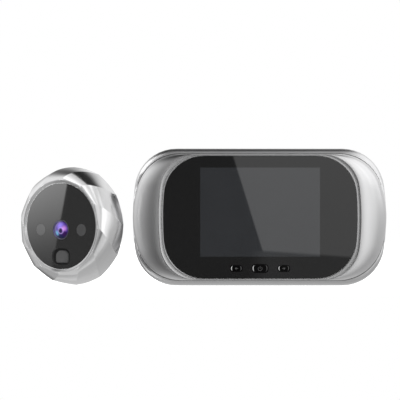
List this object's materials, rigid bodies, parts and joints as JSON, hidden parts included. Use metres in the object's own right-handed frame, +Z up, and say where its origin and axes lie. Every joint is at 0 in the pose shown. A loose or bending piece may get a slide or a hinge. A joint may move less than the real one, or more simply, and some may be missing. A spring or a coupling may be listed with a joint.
{
  "type": "peephole door camera",
  "caption": "Peephole door camera with an indoor monitor on a hook bracket and a faceted outdoor camera with a call button.",
  "frame": {"origin": "middle of the monitor on the door face, where the bracket's back lies", "axes": "+Z up, the fronts face -Y, +X to the right of a person who looks at the monitor"},
  "size_m": [0.1769, 0.0503, 0.066],
  "materials": {
    "silver_shell": "satin silver metallic paint on moulded plastic",
    "silver_trim": "polished silver plating",
    "window": "glossy black acrylic",
    "chrome": "bright chrome plating on a cast zinc body",
    "black_cap": "semi-gloss black",
    "call_cap": "satin dark grey",
    "black_plastic": "fine moulded texture",
    "tape": "black foam tape",
    "seal_foam": "closed-cell foam",
    "panel": "dark liquid crystal glass",
    "backlight": "white diffuser in a metal tray",
    "board": "green solder mask",
    "chip": "black epoxy",
    "socket": "ivory nylon",
    "steel": "zinc plated",
    "bracket_steel": "zinc plated sheet, punched and bent",
    "spring_wire": "nickel plated wire",
    "cell": "plain cell wrap",
    "lens": "violet anti-reflection coating",
    "ir_cover": "smoked infrared window",
    "ir_led": "tinted epoxy",
    "sensor": "sensor glass"
  },
  "bodies": {
    "door_set": {"mounting_bracket": "bracket_steel", "camera_housing": "chrome", "camera_trim_ring": "chrome", "camera_window": "window", "camera_window_tape": "tape", "ir_lens_covers": "ir_cover", "ir_leds": "ir_led", "lens_holder": "black_plastic", "image_sensor": "sensor", "lens_barrel": "black_plastic", "lens_glass": "lens", "camera_board": "board", "camera_ribbon_socket": "socket", "doorbell_switch": "steel", "camera_back_plate": "black_plastic", "camera_screws": "steel", "camera_seal": "seal_foam", "door_tube": "black_plastic"},
    "monitor": {"front_shell": "silver_shell", "window_trim": "silver_trim", "display_window": "window", "window_tape": "tape", "lcd_gasket": "tape", "lcd_panel": "panel", "lcd_backlight": "backlight", "main_board": "board", "board_chips": "chip", "button_switches": "steel", "ribbon_socket": "socket", "speaker_frame": "steel", "speaker_cone": "black_plastic", "rear_shell": "silver_shell", "battery_cells": "cell", "battery_plates": "spring_wire", "battery_springs": "spring_wire", "shell_screws": "steel", "board_screws": "steel"},
    "left_button": {"left_button_cap": "black_cap", "left_plunger": "black_plastic"},
    "power_button": {"power_button_cap": "black_cap", "power_plunger": "black_plastic"},
    "right_button": {"right_button_cap": "black_cap", "right_plunger": "black_plastic"},
    "battery_cover": {"battery_door": "silver_shell"},
    "call_button": {"doorbell_button": "call_cap", "doorbell_plunger": "black_plastic"}
  },
  "joints": [
    {"name": "monitor_lift", "type": "slide", "parent": "door_set", "child": "monitor", "axis": [0, 0, 1], "range_m": [0, 0.0036]},
    {"name": "left_button_press", "type": "slide", "parent": "monitor", "child": "left_button", "axis": [0, 1, 0], "range_m": [0, 0.0003], "stiffness_N_per_m": 400},
    {"name": "power_button_press", "type": "slide", "parent": "monitor", "child": "power_button", "axis": [0, 1, 0], "range_m": [0, 0.0003], "stiffness_N_per_m": 400},
    {"name": "right_button_press", "type": "slide", "parent": "monitor", "child": "right_button", "axis": [0, 1, 0], "range_m": [0, 0.0003], "stiffness_N_per_m": 400},
    {"name": "battery_door_slide", "type": "slide", "parent": "monitor", "child": "battery_cover", "axis": [1, 0, 0], "range_m": [0, 0.0579]},
    {"name": "call_button_press", "type": "slide", "parent": "door_set", "child": "call_button", "axis": [0.5592, 0.829, 0], "range_m": [0, 0.0005], "stiffness_N_per_m": 400}
  ]
}
